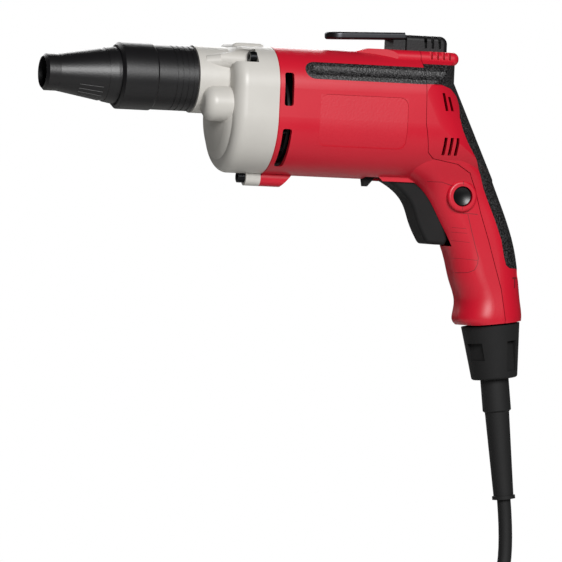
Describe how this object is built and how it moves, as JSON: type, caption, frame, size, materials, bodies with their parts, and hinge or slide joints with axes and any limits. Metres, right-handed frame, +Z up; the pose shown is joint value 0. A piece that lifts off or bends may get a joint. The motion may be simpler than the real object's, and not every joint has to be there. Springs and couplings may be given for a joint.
{
  "type": "drywall screwdriver",
  "caption": "Corded drywall screw gun with a depth-setting nose cone, cast gear case, pistol grip, belt hook and a coiled supply cord with plug.",
  "frame": {"origin": "middle of the hand grip, on the tool's mid-plane", "axes": "-X along the spindle towards the nose, +Z up to the belt hook, -Y the tool's left side"},
  "size_m": [0.305, 0.1464, 0.3711],
  "materials": {
    "red_housing": "moulded glass-filled nylon, fine texture",
    "cast_case": "pressure-cast metal with a smooth grey coat",
    "black_plastic": "moulded black plastic, fine texture",
    "grip_rubber": "overmoulded rubber, pebbled",
    "hook_steel": "black oxide spring steel",
    "screw_steel": "black oxide",
    "bright_steel": "ground steel",
    "sintered_bronze": "oil-filled sintered bronze",
    "copper": "enamelled copper",
    "core_steel": "stacked laminations",
    "carbon": "pressed carbon",
    "cord_rubber": "smooth rubber jacket",
    "plug_brass": "stamped brass"
  },
  "bodies": {
    "housing": {"gear_case": "cast_case", "gear_case_screws": "screw_steel", "bearing_plate": "cast_case", "front_bushing": "sintered_bronze", "clutch_spring": "bright_steel", "gear_bearing": "bright_steel", "front_motor_bearing": "bright_steel", "rear_motor_bearing": "bright_steel", "fan_baffle": "black_plastic", "field_stator": "core_steel", "field_coils": "copper", "brush_carrier": "black_plastic", "brush_holders": "plug_brass", "carbon_brushes": "carbon", "brush_springs": "bright_steel", "grip_pad_left": "grip_rubber", "grip_pad_right": "grip_rubber", "motor_housing": "red_housing", "handle_cover": "red_housing", "cover_grip": "grip_rubber", "cover_screws": "screw_steel", "trigger_spring": "bright_steel", "switch_body": "black_plastic", "supply_leads": "cord_rubber", "lock_button_spring": "bright_steel", "belt_hook": "hook_steel", "hook_base": "black_plastic", "hook_screw": "screw_steel", "cord_inlet": "black_plastic", "strain_relief": "cord_rubber", "cord_drop": "cord_rubber", "cord_coil": "cord_rubber", "cord_tie": "black_plastic", "plug_body": "cord_rubber", "plug_blades": "plug_brass"},
    "nose": {"nose_cone": "black_plastic"},
    "collar": {"depth_collar": "black_plastic"},
    "armature": {"armature_shaft": "bright_steel", "fan": "black_plastic", "armature_core": "core_steel", "armature_windings": "copper", "commutator": "copper"},
    "gear": {"drive_gear": "bright_steel"},
    "spindle_slide": {"thrust_washer": "bright_steel"},
    "spindle": {"spindle": "bright_steel", "bit_holder": "bright_steel", "bit_magnet": "bright_steel"},
    "trigger": {"trigger": "black_plastic"},
    "reversing_lever": {"reversing_lever": "black_plastic"},
    "lock_button": {"lock_button": "black_plastic"},
    "lock_nut": {"lock_nut": "black_plastic"}
  },
  "joints": [
    {"name": "collar_turn", "type": "hinge", "parent": "housing", "child": "collar", "pos_m": [-0.201, 0, 0.08], "axis": [1, 0, 0], "range_deg": [-360, 360]},
    {"name": "nose_depth", "type": "slide", "parent": "housing", "child": "nose", "axis": [1, 0, 0], "range_m": [-0.003, 0.003]},
    {"name": "armature_spin", "type": "hinge", "parent": "housing", "child": "armature", "pos_m": [-0.096, 0, 0.06], "axis": [1, 0, 0], "continuous": true},
    {"name": "gear_spin", "type": "hinge", "parent": "housing", "child": "gear", "pos_m": [-0.154, 0, 0.08], "axis": [1, 0, 0], "continuous": true},
    {"name": "spindle_push", "type": "slide", "parent": "housing", "child": "spindle_slide", "axis": [1, 0, 0], "range_m": [0, 0.003], "stiffness_N_per_m": 2500, "springref_m": -0.002, "deforming": ["clutch_spring"]},
    {"name": "spindle_spin", "type": "hinge", "parent": "spindle_slide", "child": "spindle", "pos_m": [-0.193, 0, 0.08], "axis": [1, 0, 0], "continuous": true},
    {"name": "trigger_pull", "type": "slide", "parent": "housing", "child": "trigger", "axis": [1, 0, 0], "range_m": [0, 0.006], "stiffness_N_per_m": 900, "springref_m": -0.003, "deforming": ["trigger_spring"]},
    {"name": "reversing_lever_swing", "type": "hinge", "parent": "housing", "child": "reversing_lever", "pos_m": [-0.035, 0, 0.02785], "axis": [0, 0, 1], "range_deg": [-11, 11]},
    {"name": "lock_button_press", "type": "slide", "parent": "housing", "child": "lock_button", "axis": [0, 1, 0], "range_m": [0, 0.0025], "stiffness_N_per_m": 900, "springref_m": -0.002, "deforming": ["lock_button_spring"]},
    {"name": "lock_nut_turn", "type": "hinge", "parent": "housing", "child": "lock_nut", "pos_m": [0.0166, 0, -0.0566], "axis": [0.1288, 0, -0.9917], "range_deg": [0, 60]}
  ],
  "couplings": [
    {"joint": "nose_depth", "follows": "collar_turn", "m_per_rad": 0.000477},
    {"joint": "gear_spin", "follows": "armature_spin", "ratio": -0.25},
    {"joint": "spindle_spin", "follows": "armature_spin", "ratio": -0.25}
  ]
}
